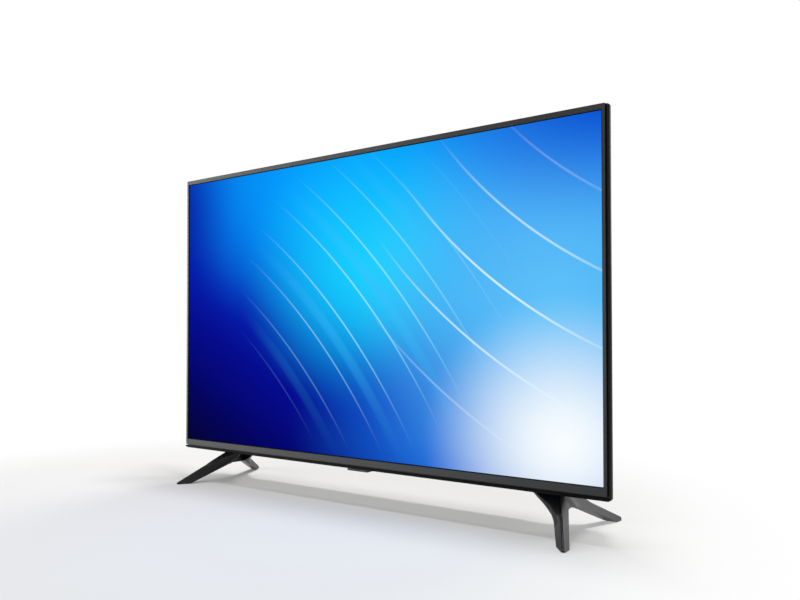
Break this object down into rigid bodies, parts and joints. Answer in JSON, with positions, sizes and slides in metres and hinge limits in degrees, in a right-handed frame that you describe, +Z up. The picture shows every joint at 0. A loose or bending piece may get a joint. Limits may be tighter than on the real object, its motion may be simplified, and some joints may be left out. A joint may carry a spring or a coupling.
{
  "type": "flat screen tv",
  "caption": "Flat LCD television with a thin grey front frame, a shaped rear cover and splayed inverted-V legs.",
  "frame": {"origin": "on the surface that the feet stand on, at the middle of the width and midway between the front and rear toes", "axes": "+Z up, the screen faces -Y, +X to the viewer's right"},
  "size_m": [0.966, 0.199, 0.6262],
  "materials": {
    "bezel_plastic": "satin",
    "cover_plastic": "fine grain",
    "trim_plastic": "satin",
    "leg_plastic": "satin",
    "screen_glass": "gloss",
    "pod_plastic": "gloss",
    "window_plastic": "gloss",
    "button_plastic": "satin",
    "pad_rubber": "matt",
    "frame_plastic": "matt",
    "foam": "matt",
    "film": "satin",
    "reflector_white": "matt",
    "lens_clear": "gloss",
    "tray_steel": "satin",
    "board_green": "satin",
    "board_white": "satin",
    "ribbon_grey": "satin",
    "socket_metal": "satin",
    "socket_black": "satin",
    "sink_aluminium": "satin",
    "capacitor_sleeve": "gloss",
    "transformer_tape": "satin",
    "module_metal": "satin",
    "speaker_plastic": "matt",
    "cone_paper": "matt",
    "bracket_steel": "satin",
    "screw_black": "satin",
    "insert_brass": "satin"
  },
  "bodies": {
    "television": {"front_bezel": "bezel_plastic", "bezel_gasket": "foam", "lcd_panel": "screen_glass", "middle_frame": "frame_plastic", "optical_film": "film", "diffuser_plate": "film", "reflector_sheet": "reflector_white", "led_lenses": "lens_clear", "led_strips": "board_white", "backlight_tray": "tray_steel", "source_boards": "board_green", "panel_ribbon": "ribbon_grey", "main_board": "board_green", "power_board": "board_green", "heat_sink": "sink_aluminium", "wifi_module": "module_metal", "transformer": "transformer_tape", "capacitors": "capacitor_sleeve", "cooling_plate": "sink_aluminium", "hdmi_sockets": "socket_metal", "usb_sockets": "socket_metal", "lan_socket": "socket_metal", "optical_socket": "socket_black", "aerial_socket": "socket_metal", "audio_jack": "socket_black", "mains_inlet": "socket_black", "left_speaker_box": "speaker_plastic", "right_speaker_box": "speaker_plastic", "sensor_pod": "pod_plastic", "sensor_window": "window_plastic", "sensor_board": "board_green", "rear_cover": "cover_plastic", "rear_cover_screws": "screw_black", "wall_mount_inserts": "insert_brass", "bottom_trim": "trim_plastic", "right_leg": "leg_plastic", "left_leg": "leg_plastic", "leg_pads": "pad_rubber", "leg_screws": "screw_black", "right_leg_bracket": "bracket_steel", "left_leg_bracket": "bracket_steel"},
    "power_button": {"power_button": "button_plastic"},
    "left_speaker_cone": {"left_speaker_cone": "cone_paper"},
    "right_speaker_cone": {"right_speaker_cone": "cone_paper"}
  },
  "joints": [
    {"name": "power_button_press", "type": "slide", "parent": "television", "child": "power_button", "axis": [0, 0, 1], "range_m": [0, 0.0008], "stiffness_N_per_m": 500, "springref_m": -0.0005},
    {"name": "left_speaker_travel", "type": "slide", "parent": "television", "child": "left_speaker_cone", "axis": [0, 0, 1], "range_m": [-0.001, 0.001], "stiffness_N_per_m": 500},
    {"name": "right_speaker_travel", "type": "slide", "parent": "television", "child": "right_speaker_cone", "axis": [0, 0, 1], "range_m": [-0.001, 0.001], "stiffness_N_per_m": 500}
  ]
}
